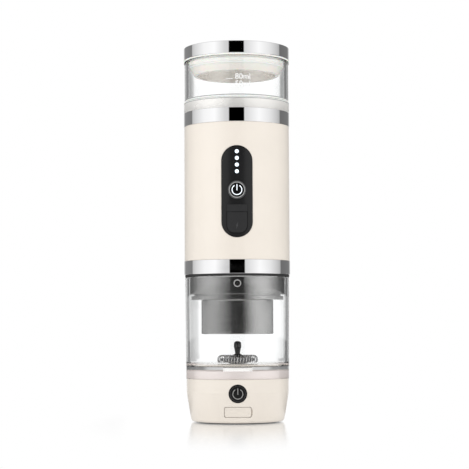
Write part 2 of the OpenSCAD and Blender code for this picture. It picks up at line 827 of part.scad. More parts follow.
module holes(r, n_rings, pitch, z0, z1) {
    rod(r, z0, z1);
    for (k = [1:n_rings])
        for (i = [0:6*k - 1])
            rotate([0, 0, 60*i/k]) translate([k*pitch, 0, 0]) cylinder_at(r, z0, z1);
}

module cylinder_at(r, z0, z1) {
    translate([0, 0, z0]) cylinder(r = r, h = z1 - z0, $fn = 16);
}

module shower_screen() {
    color([0.75, 0.76, 0.77]) difference() {
        rod(screen_r, z_head0 - 0.8, z_head0);
        holes(0.8, 3, (screen_r - 2.5*screen_edge)/3, z_head0 - 2, z_head0 + 1);
    }
}

module brew_gasket() {
    color([0.65, 0.18, 0.14]) tube(gasket_ri, gasket_ro, z_head0 - seal_t, z_head0);
}

module portafilter() {
    r = pf_d/2;
    fr = 0.6;
    er = 0.2;
    color([0.4, 0.4, 0.41]) union() {
        difference() {
            turn(concat(
                [[0, z_pf0 + 0.6], [r - 4, z_pf0 + 0.6], [r - 4.6, z_pf0]],
                arc(r - 0.4, z_pf0 + 0.4, 0.4, -90, 0, 4),
                arc(r + fr, z_fl0 - fr, fr, 180, 90),
                arc(flange_r - er, z_fl0 + er, er, -90, 0, 4),
                arc(flange_r - er, z_fl1 - er, er, 0, 90, 4),
                [[neck_r, z_fl1], [neck_r, z_neck1], [rim_r + fit_gap, z_neck1], [rim_r + fit_gap, z_brim0],
                 [basket_d/2, z_brim0], [basket_d/2, z_pf0 + pf_floor], [0, z_pf0 + pf_floor]]));
            for (i = [0:5])
                rotate([0, 0, 60*i]) translate([3.6, 0, 0])
                    cylinder_at(1.2, z_pf0 - 1, z_pf0 + pf_floor + 1);
        }
        for (a = lug_at)
            rotate([0, 0, a - lug_a/2]) rotate_extrude(angle = lug_a)
                translate([neck_r - 0.4, z_lug0]) square([lug_r - neck_r + 0.4, lug_h]);
    }
}

module filter_basket() {
    ro = basket_d/2 - fit_gap;
    t = 0.6;
    color([0.75, 0.76, 0.77]) difference() {
        turn([[0, z_basket0], [ro - 1, z_basket0], [ro, z_basket0 + 1], [ro, z_brim0], [rim_r, z_brim0],
              [rim_r, z_brim1], [ro - t, z_brim1], [ro - t, z_basket0 + 1.3], [ro - 1.3, z_basket0 + t],
              [0, z_basket0 + t]]);
        holes(0.7, 4, (ro - 4.5)/4, z_basket0 - 1, z_basket0 + 2);
    }
}

module cup() {
    ri0 = cup_ir(z_floor1);
    er = 0.7;
    fr = 3;
    color([0.8, 0.88, 0.92, 0.35]) turn(concat(
        [[base_collar_r + fit_gap, z_seam], [cup_bot_r, z_seam]],
        arc(cup_top_r - er, z_rim - er, er, 0, 90),
        arc(cup_ir(z_rim) + er, z_rim - er, er, 90, 180),
        arc(ri0 - fr, z_floor1 + fr, fr, 0, -90),
        [[post_r, z_floor1], [post_r, z_post - 0.6], [post_r - 0.6, z_post], [0, z_post],
         [0, z_floor0 + drive_h + 0.1], [drive_d/2 + 0.2, z_floor0 + drive_h + 0.1],
         [drive_d/2 + 0.2, z_floor0], [base_collar_r + fit_gap, z_floor0]]));
}

module whisk_hub() {
    kr = knob_d/2;
    z_n = coil_z + coil_r + 0.6;
    color([0.12, 0.12, 0.13]) difference() {
        union() {
            turn(concat(
                [[post_r + 0.1, z_hub0], [hub_r - 0.5, z_hub0], [hub_r, z_hub0 + 0.5]],
                arc(hub_r, coil_z + 4.2, 3.2, 270, 214, 5),
                [[kr - 0.9, z_n + 0.6], [kr - 0.8, z_n + 1.4]],
                arc(kr - 1.6, z_knob - 3.6, 1.6, -30, 0, 3),
                arc(kr - 1.9, z_knob - 1.9, 1.9, 0, 90, 6),
                [[0, z_knob], [0, z_post], [post_r + 0.1 - 0.7, z_post], [post_r + 0.1, z_post - 0.7]]));
            for (a = [90, 210, 330])
                rotate([0, 0, a]) translate([hub_r - 1, -spoke_w/2, coil_z - 0.9])
                    cube([whisk_r - hub_r + 1, spoke_w, 1.8]);
            rotate_extrude() translate([whisk_r, coil_z]) circle(r = 0.9, $fn = 32);
        }
        for (s = [-1, 1])
            translate([s*(hub_r + post_r)/2, 0, 0]) rod(1.9, z_hub0 - 1, z_hub0 + 2.5);
    }
}

// Path of one run of the coil, which starts at the side of the spoke at angle a
inner_r = whisk_r - coil_r;
edge_a = asin((spoke_w/2 + 0.03)/inner_r);
lead_a = edge_a + wire_d/inner_r*180/PI;
coil_n = coil_turns*8;
function coil_at(a, m, rr) = [
    (whisk_r + rr*cos(m))*cos(a), (whisk_r + rr*cos(m))*sin(a), coil_z + rr*sin(m)];
function run_path(a) = concat(
    [coil_at(a + edge_a, 180, coil_r)],
    [for (i = [0:coil_n]) coil_at(a + lead_a + (120 - 2*lead_a)*i/coil_n, 180 + 45*i, coil_r)],
    [coil_at(a + 120 - edge_a, 180, coil_r)]);
function run_side(a) = concat(
    [[-cos(a + edge_a), -sin(a + edge_a), 0]],
    [for (i = [0:coil_n])
        coil_at(a + lead_a + (120 - 2*lead_a)*i/coil_n, 180 + 45*i, 1)
        - coil_at(a + lead_a + (120 - 2*lead_a)*i/coil_n, 180 + 45*i, 0)],
    [[-cos(a + 120 - edge_a), -sin(a + 120 - edge_a), 0]]);

// Least gap of the coil to itself, on fine points of one run, curls apart by half a turn or more
fine = [for (i = [0:coil_turns*24])
    coil_at(lead_a + (120 - 2*lead_a)*i/(coil_turns*24), 180 + 15*i, coil_r)];
coil_gap = min([for (i = [0:len(fine) - 13])
    min([for (j = [i + 12:min(i + 40, len(fine) - 1)]) norm(fine[i] - fine[j])])]) - wire_d;
echo(coil_gap = coil_gap);

module whisk_coil() {
    color([0.8, 0.8, 0.82])
        for (a = [90, 210, 330])
            wire(run_path(a), run_side(a), wire_d/2);
}

module whisk_magnets() {
    color([0.6, 0.6, 0.62])
        for (s = [-1, 1])
            translate([s*(hub_r + post_r)/2, 0, 0]) rod(1.9 - fit_gap/2, z_hub0, z_hub0 + 2.5);
}

module base_shell() {
    ci = base_collar_r - base_wall;
    color([0.93, 0.9, 0.84]) difference() {
        union() {
            turn(concat(
                [[plate_r + fit_gap, foot_proud]],
                base_outline(0),
                [[base_collar_r, z_seam], [base_collar_r, z_deck1], [drive_d/2, z_deck1],
                 [drive_d/2, z_deck1 + drive_h], [0, z_deck1 + drive_h], [0, z_deck0], [ci, z_deck0],
                 [ci, z_seam], [base_r - base_wall, z_seam - base_wall], [base_r - base_wall, base_taper_h],
                 [base_or(z_plate) - base_wall, z_plate], [plate_r + fit_gap, z_plate]]));
            for (sx = [-1, 1])
                for (sy = [-1, 1])
                    translate([sx*boss_xy, sy*boss_xy, 0]) rod(3, z_plate, z_deck0 + e);
        }
        for (sx = [-1, 1])
            for (sy = [-1, 1])
                translate([sx*boss_xy, sy*boss_xy, 0])
                    rod(screw_r + 0.1, z_plate - 1, z_plate + screw_l + 1);
        through(-R, base_cap_y, base_button_z) circle(d = base_button_d + run_gap);
        base_flap_cut(run_gap, flap_t + fit_gap);
        base_nail_cut();
        through(-R, base_mouth_y + 3, base_port_z) slot(usb_w + 0.8, usb_h + 0.8);
    }
}

module base_plate() {
    color([0.3, 0.3, 0.31]) difference() {
        union() {
            rod(plate_r, foot_proud, z_plate);
            rod(motor_d/2 + fit_gap + 1.4, z_plate - e, z_plate + 5);
            for (s = [-1, 1])
                translate([s*bracket_x, 0, 0]) rod(3, z_plate - e, z_motor1);
            for (s = [-1, 1])
                translate([s*8 - 2, base_board_y - 1.6, z_plate - e]) cube([4, board_t + 3.2, 3]);
        }
        rod(motor_d/2 + fit_gap, z_plate, z_plate + 6);
        translate([-base_board_w/2 - 1, base_board_y - fit_gap, z_plate])
            cube([base_board_w + 2, board_t + 2*fit_gap, 5]);
        difference() {
            rod(foot_ro + fit_gap, foot_proud - 1, foot_proud + groove);
            rod(foot_ri - fit_gap, foot_proud - 2, foot_proud + groove + 1);
        }
        for (sx = [-1, 1])
            for (sy = [-1, 1])
                translate([sx*boss_xy, sy*boss_xy, 0]) {
                    rod(screw_r + 0.2, foot_proud - 1, z_plate + 1);
                    rod(screw_seat_r, foot_proud - 1, foot_proud + 1.6);
                }
        for (s = [-1, 1])
            translate([s*bracket_x, 0, 0])
                rod(screw_r + 0.1, z_motor1 + bracket_t - screw_l - 1.5, z_motor1 + 1);
    }
}

module base_foot() {
    color([0.15, 0.15, 0.15]) turn([
        [foot_ri + 0.3, 0], [foot_ro - 0.3, 0], [foot_ro, 0.3], [foot_ro, foot_proud + groove],
        [foot_ri, foot_proud + groove], [foot_ri, 0.3]]);
}

module base_screws() {
    color([0.6, 0.6, 0.62])
        for (sx = [-1, 1])
            for (sy = [-1, 1])
                translate([sx*boss_xy, sy*boss_xy, foot_proud + 0.2])
                    screw(screw_seat_r - 0.2, screw_head_h + 0.2, screw_r, screw_l);
}

module base_button() {
    color([0.07, 0.07, 0.075]) intersection() {
        base_solid(0.2);
        union() {
            through(-R - 1, base_cap_y + 1, base_button_z) circle(d = base_button_d);
            through(base_cap_y + 0.1, base_cap_y + 1.1, base_button_z) circle(d = base_button_d + 1.8);
            through(base_cap_y, base_switch_y - press - 0.05, base_button_z) circle(d = 3.4);
        }
    }
}

module base_flap() {
    y1 = base_or(base_port_z) - flap_t;
    color([0.92, 0.89, 0.83]) union() {
        base_flap_cut(0, flap_t);
        intersection() {
            base_solid(-flap_t/2);
            through(-R, -y1 + 1.3, base_port_z) slot(usb_w - 0.8, usb_h - 1);
        }
    }
}

module base_socket() {
    color([0.75, 0.75, 0.77]) socket(base_mouth_y, base_board_y, base_port_z);
}

module base_board() {
    color([0.1, 0.35, 0.2]) translate([-base_board_w/2, base_board_y, z_plate])
        cube([base_board_w, board_t, base_board_h]);
}

module base_switch() {
    color([0.2, 0.2, 0.2]) union() {
        translate([-switch_w/2, base_board_y - 3.4, base_button_z - switch_w/2])
            cube([switch_w, 3.4, switch_w]);
        through(base_switch_y, base_board_y - 3, base_button_z) circle(d = 3);
    }
}

module base_battery() {
    color([0.75, 0.76, 0.8]) translate([0, boss_xy + (base_cell_t + 7)/2, z_plate])
        linear_extrude(base_cell_h) rounded(base_cell_l, base_cell_t, 1.5);
}

module stir_motor() {
    color([0.62, 0.62, 0.64]) difference() {
        union() {
            rod(motor_d/2, z_plate, z_motor1);
            rod(motor_nose_d/2, z_motor1 - 1, z_motor1 + 1.2);
        }
        rod(shaft_r + 0.05, z_motor1 - 6, z_motor1 + 2);
    }
}

module motor_bracket() {
    color([0.45, 0.45, 0.47]) difference() {
        union() {
            translate([-bracket_x, -bracket_w/2, z_motor1]) cube([2*bracket_x, bracket_w, bracket_t]);
            rod(motor_d/2, z_motor1, z_motor1 + bracket_t);
            for (s = [-1, 1])
                translate([s*bracket_x, 0, 0]) rod(bracket_w/2, z_motor1, z_motor1 + bracket_t);
        }
        rod(motor_nose_d/2 + fit_gap, z_motor1 - 1, z_motor1 + 4);
        for (s = [-1, 1])
            translate([s*bracket_x, 0, 0]) rod(screw_r + 0.2, z_motor1 - 1, z_motor1 + 4);
    }
}

module bracket_screws() {
    color([0.6, 0.6, 0.62])
        for (s = [-1, 1])
            translate([s*bracket_x, 0, z_motor1 + bracket_t + screw_head_h]) mirror([0, 0, 1])
                screw(2.2, screw_head_h, screw_r, screw_l);
}

module motor_shaft() {
    color([0.8, 0.8, 0.82]) rod(shaft_r, z_motor1 - 5.8, z_rotor1 - 0.5);
}

module rotor_disc() {
    color([0.85, 0.85, 0.85]) difference() {
        rod(rotor_r, z_rotor0, z_rotor1);
        rod(shaft_r + 0.02, z_rotor0 - 1, z_rotor1 - 0.5);
        for (s = [-1, 1])
            translate([s*rotor_r*0.58, 0, 0]) rod(2.5, z_rotor1 - 3, z_rotor1 + 1);
    }
}

module rotor_magnets() {
    color([0.6, 0.6, 0.62])
        for (s = [-1, 1])
            translate([s*rotor_r*0.58, 0, 0]) rod(2.5 - fit_gap/2, z_rotor1 - 3, z_rotor1);
}

cap_shell();
cap_plug();
cap_seal();
cap_gasket();
tank();
tank_seal();
heater_seat();
heater_plate();
heater_ring();
temp_sensor();
upper_ring();
body_shell();
lower_ring();
cup_gasket();
control_panel();
light_guides();
button_halo();
power_button();
flap_strap();
port_flap();
charge_socket();
control_board();
panel_switch();
board_screws();
chassis();
battery_cells();
inlet_hose();
pump_body();
pump_coil();
pump_frame();
pump_plunger();
pump_spring();
outlet_seal();
brew_collar();
brew_head();
shower_screen();
brew_gasket();
portafilter();
filter_basket();
cup();
whisk_hub();
whisk_coil();
whisk_magnets();
base_shell();
base_plate();
base_foot();
base_screws();
base_button();
base_flap();
base_socket();
base_board();
base_switch();
base_battery();
stir_motor();
motor_bracket();
bracket_screws();
motor_shaft();
rotor_disc();
rotor_magnets();
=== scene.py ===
import math

import bmesh
import bpy
from mathutils import Matrix, Vector


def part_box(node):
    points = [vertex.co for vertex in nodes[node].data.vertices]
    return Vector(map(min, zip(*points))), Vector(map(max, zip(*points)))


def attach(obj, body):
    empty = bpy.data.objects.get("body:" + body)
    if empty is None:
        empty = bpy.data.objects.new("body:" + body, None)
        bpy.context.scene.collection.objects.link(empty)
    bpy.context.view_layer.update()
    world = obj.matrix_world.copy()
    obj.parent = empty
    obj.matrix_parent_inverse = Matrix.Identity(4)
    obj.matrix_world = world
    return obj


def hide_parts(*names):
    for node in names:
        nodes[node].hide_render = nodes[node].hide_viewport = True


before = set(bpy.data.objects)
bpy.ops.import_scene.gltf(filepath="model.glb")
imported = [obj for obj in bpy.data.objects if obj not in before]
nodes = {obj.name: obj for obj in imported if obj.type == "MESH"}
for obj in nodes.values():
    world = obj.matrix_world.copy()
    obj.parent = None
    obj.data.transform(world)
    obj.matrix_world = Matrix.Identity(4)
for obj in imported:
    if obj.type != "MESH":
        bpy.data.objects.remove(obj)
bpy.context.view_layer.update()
scene = bpy.context.scene
scene.view_settings.view_transform = "Standard"
MM = 0.001  # one millimetre, in the scene's metres


# Shader nodes

WHITE = (1, 1, 1, 1)


def node(tree, kind, values=None):
    """A new shader node, with the values of its unlinked sockets by name."""
    made = tree.nodes.new("ShaderNode" + kind)
    for key, value in (values or {}).items():
        made.inputs[key].default_value = value
    return made


def combined(tree, operation, first, second):
    """A Math node on two outputs."""
    made = node(tree, "Math")
    made.operation = operation
    tree.links.new(first, made.inputs[0])
    tree.links.new(second, made.inputs[1])
    return made.outputs[0]


def mixed(tree, fac, first, second):
    """A Mix Shader node, from the first shader at 0 to the second at 1."""
    made = node(tree, "MixShader")
    tree.links.new(fac, made.inputs["Fac"])
    tree.links.new(first, made.inputs[1])
    tree.links.new(second, made.inputs[2])
    return made.outputs["Shader"]


# Materials. Scales of noise are per metre, depths of bumps are in metres.

NOISE_LOW, NOISE_HIGH = 0.3, 0.7  # the part of a noise texture's range that is used
# A range is the least and the greatest roughness, as shares of the roughness that is asked for
CLOUD_SCALE, GLOSS_SCALE, GLOSS_RANGE = 60, 140, (0.88, 1.12)
LATHE_SCALE, LATHE_STRETCH, LATHE_RANGE = 60, (1, 1, 90), (0.8, 1.25)
LATHE_TINT, LATHE_DEPTH, LATHE_STRENGTH = 0.06, 1.5e-6, 0.6
WIPE_SCALE, WIPE_STRETCH, WIPE_RANGE = 45, (1, 1, 6), (0.5, 1.6)
SATIN_SCALE, SATIN_STRETCH, SATIN_RANGE = 30, (1, 1, 4), (0.85, 1.15)
CLEAR_SCALE, CLEAR_STRETCH, CLEAR_ROUGH = 35, (1, 1, 3), 0.012


def material(name, color, rough, metal=0.0, **more):
    """A Principled material with its constant values on the shader's own sockets."""
    m = bpy.data.materials.new(name)
    m.use_nodes = True
    bsdf = m.node_tree.nodes["Principled BSDF"]
    bsdf.inputs["Base Color"].default_value = (*color, 1)
    bsdf.inputs["Roughness"].default_value = rough
    bsdf.inputs["Metallic"].default_value = metal
    for key, value in more.items():
        bsdf.inputs[key.replace("_", " ")].default_value = value
    return m


def noise(m, scale, stretch=(1, 1, 1), detail=4.0):
    """A noise texture in the part's own metres."""
    tree = m.node_tree
    place = node(tree, "TexCoord")
    turn = node(tree, "Mapping", {"Scale": stretch})
    texture = node(tree, "TexNoise", {"Scale": scale, "Detail": detail})
    tree.links.new(place.outputs["Object"], turn.inputs["Vector"])
    tree.links.new(turn.outputs["Vector"], texture.inputs["Vector"])
    return texture.outputs["Fac"]


def vary_colour(m, fac, low, high):
    """Base colour from low to high along a noise."""
    tree = m.node_tree
    ramp = node(tree, "ValToRGB")
    for stop, place, color in zip(ramp.color_ramp.elements, (NOISE_LOW, NOISE_HIGH), (low, high)):
        stop.position = place
        stop.color = (*color, 1)
    tree.links.new(fac, ramp.inputs["Fac"])
    tree.links.new(ramp.outputs["Color"], tree.nodes["Principled BSDF"].inputs["Base Color"])


def vary_rough(m, fac, low, high):
    """Roughness from low to high along a noise."""
    tree = m.node_tree
    spread = node(tree, "MapRange", {
        "From Min": NOISE_LOW, "From Max": NOISE_HIGH, "To Min": low, "To Max": high})
    tree.links.new(fac, spread.inputs["Value"])
    tree.links.new(spread.outputs["Result"], tree.nodes["Principled BSDF"].inputs["Roughness"])


def bump(m, fac, depth, strength=1.0):
    """Relief from a noise."""
    tree = m.node_tree
    relief = node(tree, "Bump", {"Strength": strength, "Distance": depth})
    tree.links.new(fac, relief.inputs["Height"])
    tree.links.new(relief.outputs["Normal"], tree.nodes["Principled BSDF"].inputs["Normal"])


def scaled(values, factor):
    """Each value times a factor."""
    return tuple(v * factor for v in values)


def plastic(name, color, rough, spread=0.015, grain=2500, depth=2e-6, **more):
    """Moulded plastic: faint cloudiness, uneven gloss and a fine moulded skin."""
    m = material(name, color, rough, **more)
    vary_colour(m, noise(m, CLOUD_SCALE), scaled(color, 1 - spread), scaled(color, 1 + spread))
    vary_rough(m, noise(m, GLOSS_SCALE), *scaled(GLOSS_RANGE, rough))
    bump(m, noise(m, grain, detail=2.0), depth)
    return m


def turned_metal(name, color, rough, lines=1.0):
    """Metal turned on a lathe: fine lines run round the axis."""
    m = material(name, color, rough, 1.0)
    grain = noise(m, LATHE_SCALE, LATHE_STRETCH)
    tint = LATHE_TINT * lines
    vary_colour(m, grain, scaled(color, 1 - tint), scaled(color, min(1 + tint, 1 / max(color))))
    vary_rough(m, grain, *scaled(LATHE_RANGE, rough))
    bump(m, grain, LATHE_DEPTH * lines, LATHE_STRENGTH)
    return m


def polished(name, color, rough):
    """Plated metal: a mirror with faint wipe marks."""
    m = material(name, color, rough, 1.0)
    vary_rough(m, noise(m, WIPE_SCALE, WIPE_STRETCH), *scaled(WIPE_RANGE, rough))
    return m


def satin(name, color, rough, metal, **more):
    """Part metal, part lacquer, with a slow change of gloss."""
    m = material(name, color, rough, metal, **more)
    vary_rough(m, noise(m, SATIN_SCALE, SATIN_STRETCH, detail=0.0), *scaled(SATIN_RANGE, rough))
    return m


def clear(name, color, ior):
    """Clear plastic. Light that falls on what is inside passes straight through its walls."""
    m = material(name, color, 0.0, Transmission_Weight=1.0, IOR=ior)
    vary_rough(m, noise(m, CLEAR_SCALE, CLEAR_STRETCH), 0.0, CLEAR_ROUGH)
    tree = m.node_tree
    path = node(tree, "LightPath")
    passing = node(tree, "BsdfTransparent", {"Color": WHITE})
    lighting = combined(tree, "MAXIMUM", path.outputs["Is Shadow Ray"], path.outputs["Is Diffuse Ray"])
    wall = mixed(tree, lighting, tree.nodes["Principled BSDF"].outputs["BSDF"], passing.outputs["BSDF"])
    tree.links.new(wall, tree.nodes["Material Output"].inputs["Surface"])
    return m


# Housing, walls and seals
CREAM = (0.83, 0.765, 0.685)
chrome = polished("chrome_plate", (0.93, 0.93, 0.935), 0.035)
cream = plastic("cream_plastic", CREAM, 0.4, Coat_Weight=0.8, Coat_Roughness=0.2, Specular_IOR_Level=0.35)
cream_rubber = plastic("cream_rubber", scaled(CREAM, 0.985), 0.55, depth=4e-6)
clear_wall = clear("clear_plastic", (0.995, 1.0, 1.0), 1.47)
plug_white = plastic("plug_plastic", (0.88, 0.84, 0.78), 0.14,
                     Subsurface_Weight=0.25, Subsurface_Scale=0.003)
silicone = plastic("white_silicone", (0.9, 0.885, 0.85), 0.42,
                   Subsurface_Weight=0.15, Subsurface_Scale=0.002)
black_rubber = plastic("black_rubber", (0.018, 0.018, 0.018), 0.55, depth=5e-6)
red_rubber = plastic("red_silicone", (0.42, 0.06, 0.05), 0.5)

# Metal
gunmetal = turned_metal("gunmetal", (0.39, 0.387, 0.382), 0.1)
steel = turned_metal("brushed_steel", (0.72, 0.72, 0.73), 0.2)
wire_steel = polished("wire_steel", (0.72, 0.72, 0.73), 0.14)
screw_steel = turned_metal("screw_steel", (0.55, 0.55, 0.57), 0.3)
copper = turned_metal("copper_wire", (0.6, 0.28, 0.14), 0.3, lines=2.0)

# Controls
panel_black = plastic("panel_black", (0.014, 0.014, 0.0145), 0.2, grain=4000, depth=5e-7,
                      Specular_IOR_Level=0.33)
button_black = plastic("button_black", (0.005, 0.005, 0.0053), 0.28, Specular_IOR_Level=0.2)
flap_rubber = plastic("flap_rubber", (0.024, 0.024, 0.025), 0.5, depth=5e-6, Specular_IOR_Level=0.25)
halo = plastic("halo_smoke", (0.022, 0.022, 0.023), 0.3, Specular_IOR_Level=0.3)
halo_tick = plastic("halo_tick", (0.2, 0.2, 0.203), 0.35, depth=1e-6)
light = plastic("guide_light", (0.75, 0.85, 0.95), 0.3,
                Emission_Strength=0.9, Emission_Color=(0.78, 0.9, 1.0, 1))
icon_light = plastic("icon_light", (0.8, 0.85, 0.9), 0.35,
                     Emission_Strength=0.55, Emission_Color=(0.85, 0.93, 1.0, 1))
print_white = plastic("print_white", (0.95, 0.95, 0.94), 0.45, depth=1e-6)
print_grey = plastic("print_grey", (0.32, 0.32, 0.31), 0.4, depth=1e-6)
print_silver = plastic("print_silver", (0.46, 0.46, 0.455), 0.4, depth=1e-6)
print_dark = plastic("flap_print", (0.05, 0.05, 0.052), 0.4, depth=1e-6)

# Inner pieces
black_plastic = plastic("black_plastic", (0.03, 0.03, 0.031), 0.32)
white_plastic = plastic("white_plastic", (0.8, 0.8, 0.79), 0.4)
board_green = plastic("board_green", (0.02, 0.12, 0.06), 0.35, spread=0.15)
cell_wrap = plastic("cell_wrap", (0.05, 0.2, 0.42), 0.3)

# Linings and trim behind the clear walls, some with painted glow, highlight and shade
collar_satin = satin("collar_satin", (0.92, 0.9, 0.87), 0.3, 0.42)
pearl_cream = satin("pearl_cream", (0.85, 0.775, 0.75), 0.24, 0.4)
# The plug's liner glows faintly: painted light for the shaded hollow of the plug
pearl_liner_painted_glow = satin("pearl_liner_painted_glow", (0.97, 0.94, 0.9), 0.3, 0.75,
                    Emission_Strength=0.05, Emission_Color=(1, 0.97, 0.93, 1))
# Grey for the lines of painted shade along the top of the tank's sleeve
painted_shade_grey = plastic("painted_shade_grey", (0.36, 0.36, 0.355), 0.25)
plate_grey = plastic("plate_grey", (0.47, 0.47, 0.465), 0.35)
# The drive pad glows: painted light, so that it shows bright through the cup's floor
pad_white_painted_glow = plastic("pad_white_painted_glow", (0.95, 0.95, 0.94), 0.45,
                    Emission_Strength=0.25, Emission_Color=WHITE)

PAINT = {
    chrome: "cap_shell upper_ring lower_ring",
    cream: "body_shell base_shell",
    cream_rubber: "base_flap",
    clear_wall: "tank cup",
    plug_white: "cap_plug heater_seat",
    silicone: "cap_seal cap_gasket inlet_hose",
    gunmetal: "brew_collar portafilter",
    steel: "heater_plate heater_ring temp_sensor shower_screen filter_basket charge_socket base_socket"
           " pump_plunger pump_spring pump_frame stir_motor motor_shaft motor_bracket"
           " whisk_magnets rotor_magnets",
    screw_steel: "board_screws base_screws bracket_screws",
    panel_black: "control_panel",
    button_black: "power_button base_button",
    flap_rubber: "port_flap flap_strap",
    black_rubber: "cup_gasket base_foot",
    black_plastic: "panel_switch base_switch brew_head whisk_hub chassis base_plate",
    red_rubber: "tank_seal outlet_seal brew_gasket",
    board_green: "control_board base_board",
    cell_wrap: "battery_cells base_battery",
    white_plastic: "pump_body rotor_disc",
    copper: "pump_coil",
    halo: "button_halo",
    light: "light_guides",
}
for finish, names in PAINT.items():
    for name in names.split():
        nodes[name].data.materials.clear()
        nodes[name].data.materials.append(finish)


# Pieces that only the scene has. Their sizes and places are in mm.

SHARP_EDGE = math.radians(40)


def add(name, mesh, mat, body):
    """Puts a finished mesh in the scene, on a body."""
    mesh.materials.append(mat)
    obj = bpy.data.objects.new(name, mesh)
    scene.collection.objects.link(obj)
    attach(obj, body)
    return obj


def piece(name, verts, faces, mat, body, slot, smooth=False):
    """A piece from points in metres and faces, which are turned outwards."""
    mesh = bpy.data.meshes.new(name)
    mesh.from_pydata(verts, [], faces)
    bm = bmesh.new()
    bm.from_mesh(mesh)
    bmesh.ops.recalc_face_normals(bm, faces=bm.faces)
    bm.to_mesh(mesh)
    bm.free()
    if smooth:
        mesh.shade_smooth()
        mesh.set_sharp_from_angle(angle=SHARP_EDGE)
    return add(name, mesh, mat, body)


def inlay(name, ribbons, front, mat, body, slot, lift=0.03, depth=0.12):
    """Thin print or inlay on a front surface, out of it by lift and into it by depth. A ribbon is a list
    of (left, right) points in x and z; front(x, z) gives the surface's y there."""
    verts, faces = [], []
    for ribbon in ribbons:
        start = len(verts)
        closed = ribbon[0] == ribbon[-1]
        rows = ribbon[:-1] if closed else ribbon
        for row in rows:
            for x, z in row:
                y = front(x, z)
                verts.append((x * MM, (y - lift) * MM, z * MM))
                verts.append((x * MM, (y + depth) * MM, z * MM))
        count = len(rows)
        for i in range(count if closed else count - 1):
            p, q = start + 4 * i, start + 4 * ((i + 1) % count)
            faces += [(p, p + 2, q + 2, q), (p + 1, q + 1, q + 3, p + 3),
                      (p, q, q + 1, p + 1), (p + 2, p + 3, q + 3, q + 2)]
        if not closed:
            p, q = start, start + 4 * (count - 1)
            faces += [(p, p + 1, p + 3, p + 2), (q, q + 2, q + 3, q + 1)]
    return piece(name, verts, faces, mat, body, slot)


def arc_ribbon(z, r0, r1, first=0, last=360, count=64):
    """An arc round the point x = 0 at height z, between two radii and two angles in degrees."""
    rows = []
    for i in range(count + 1):
        a = math.radians(first + (last - first) * i / count)
        c, s = math.cos(a), math.sin(a)
        rows.append(((r0 * c, z + r0 * s), (r1 * c, z + r1 * s)))
    if last - first == 360:
        rows[-1] = rows[0]
    return rows


BAR_TIP = 0.01  # half the width that a bar keeps at its ends


def bar_ribbon(z0, z1, width, count=8):
    """An upright bar with round ends at x = 0."""
    half = width / 2
    rows = []
    for i in range(count + 1):
        a = math.pi * i / count - math.pi / 2
        x = max(half * math.cos(a), BAR_TIP)
        z = (z1 - half if i > count / 2 else z0 + half) + half * math.sin(a)
        rows.append(((-x, z), (x, z)))
        if i == count // 2:
            steps = [z0 + half + (z1 - z0 - width) * k / count for k in range(1, count + 1)]
            rows += [((-half, step), (half, step)) for step in steps]
    return rows


def round_front(r):
    """The front of a cylinder of radius r."""
    return lambda x, z: -math.sqrt(r * r - x * x)


def front_radius(name):
    """How far a node reaches to the front."""
    return -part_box(name)[0].y / MM


def mid_height(name):
    """The height of a node's middle."""
    low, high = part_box(name)
    return (low.z + high.z) / 2 / MM


SIGN_GAP = 30  # half the opening at the top of a power sign, in degrees
BAR_BELOW, BAR_ABOVE = 0.14, 1.16  # how far its bar reaches from the centre, in radii


def power_symbol(name, z, radius, stroke, front, mat, body, slot):
    """A power sign: an open ring and a bar."""
    ring = arc_ribbon(z, radius - stroke / 2, radius + stroke / 2, 90 + SIGN_GAP, 450 - SIGN_GAP, 48)
    bar = bar_ribbon(z - radius * BAR_BELOW, z + radius * BAR_ABOVE, stroke)
    inlay(name, [ring, bar], front, mat, body, slot)


SIGN_R, SIGN_STROKE = 3.15, 0.55
button_z = mid_height("power_button")
power_symbol("power_symbol", button_z, SIGN_R, SIGN_STROKE, round_front(front_radius("power_button")),
             icon_light, "power_button", "light_plastic")

# Silver ring round the button, with fine ticks that narrow outwards
HALO_IN, HALO_OUT = 4.7, 5.05
TICKS = 48
TICK_ENDS = ((5.06, 0.2), (5.9, 0.07))  # radius and half width
halo_front = round_front(front_radius("button_halo"))
inlay("halo_ring", [arc_ribbon(button_z, HALO_IN, HALO_OUT)], halo_front,
      print_silver, "upper_unit", "halo_plastic")
ticks = []
for i in range(TICKS):
    a = 2 * math.pi * i / TICKS
    c, s = math.cos(a), math.sin(a)
    ticks.append([((r * c - w * s, button_z + r * s + w * c), (r * c + w * s, button_z + r * s - w * c))
                  for r, w in TICK_ENDS])
inlay("halo_ticks", ticks, halo_front, halo_tick, "upper_unit", "halo_plastic")

# The base tapers towards its foot, and the print follows the outline of its button's face
BASE_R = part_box("base_shell")[1].x / MM
BASE_TAPER, TAPER_POWER = 2.9, 1.15
TAPER_TOP, TAPER_FOOT = 20.0, 2.6
BUTTON_PROUD = 0.2


def base_front(x, z):
    """The face of the base's button."""
    r = BASE_R + BUTTON_PROUD
    if z < TAPER_TOP:
        r -= BASE_TAPER * ((TAPER_TOP - z) / (TAPER_TOP - TAPER_FOOT)) ** TAPER_POWER
    return -math.sqrt(r * r - x * x)


RIM_IN, RIM_OUT = 4.85, 5.0
BASE_SIGN_R, BASE_SIGN_STROKE, BASE_SIGN_DROP = 3.2, 0.45, 0.1
base_button_z = mid_height("base_button")
power_symbol("base_power_symbol", base_button_z - BASE_SIGN_DROP, BASE_SIGN_R, BASE_SIGN_STROKE,
             base_front, print_grey, "base_button", "halo_plastic")
inlay("base_button_rim", [arc_ribbon(base_button_z, RIM_IN, RIM_OUT)], base_front,
      print_dark, "base_button", "halo_plastic")

# Round alignment mark on the brew collar
LOCK_Z, LOCK_IN, LOCK_OUT = 90.2, 1.85, 2.35
inlay("lock_mark", [arc_ribbon(LOCK_Z, LOCK_IN, LOCK_OUT)], round_front(front_radius("brew_collar")),
      print_silver, "upper_unit", "white_silicone")

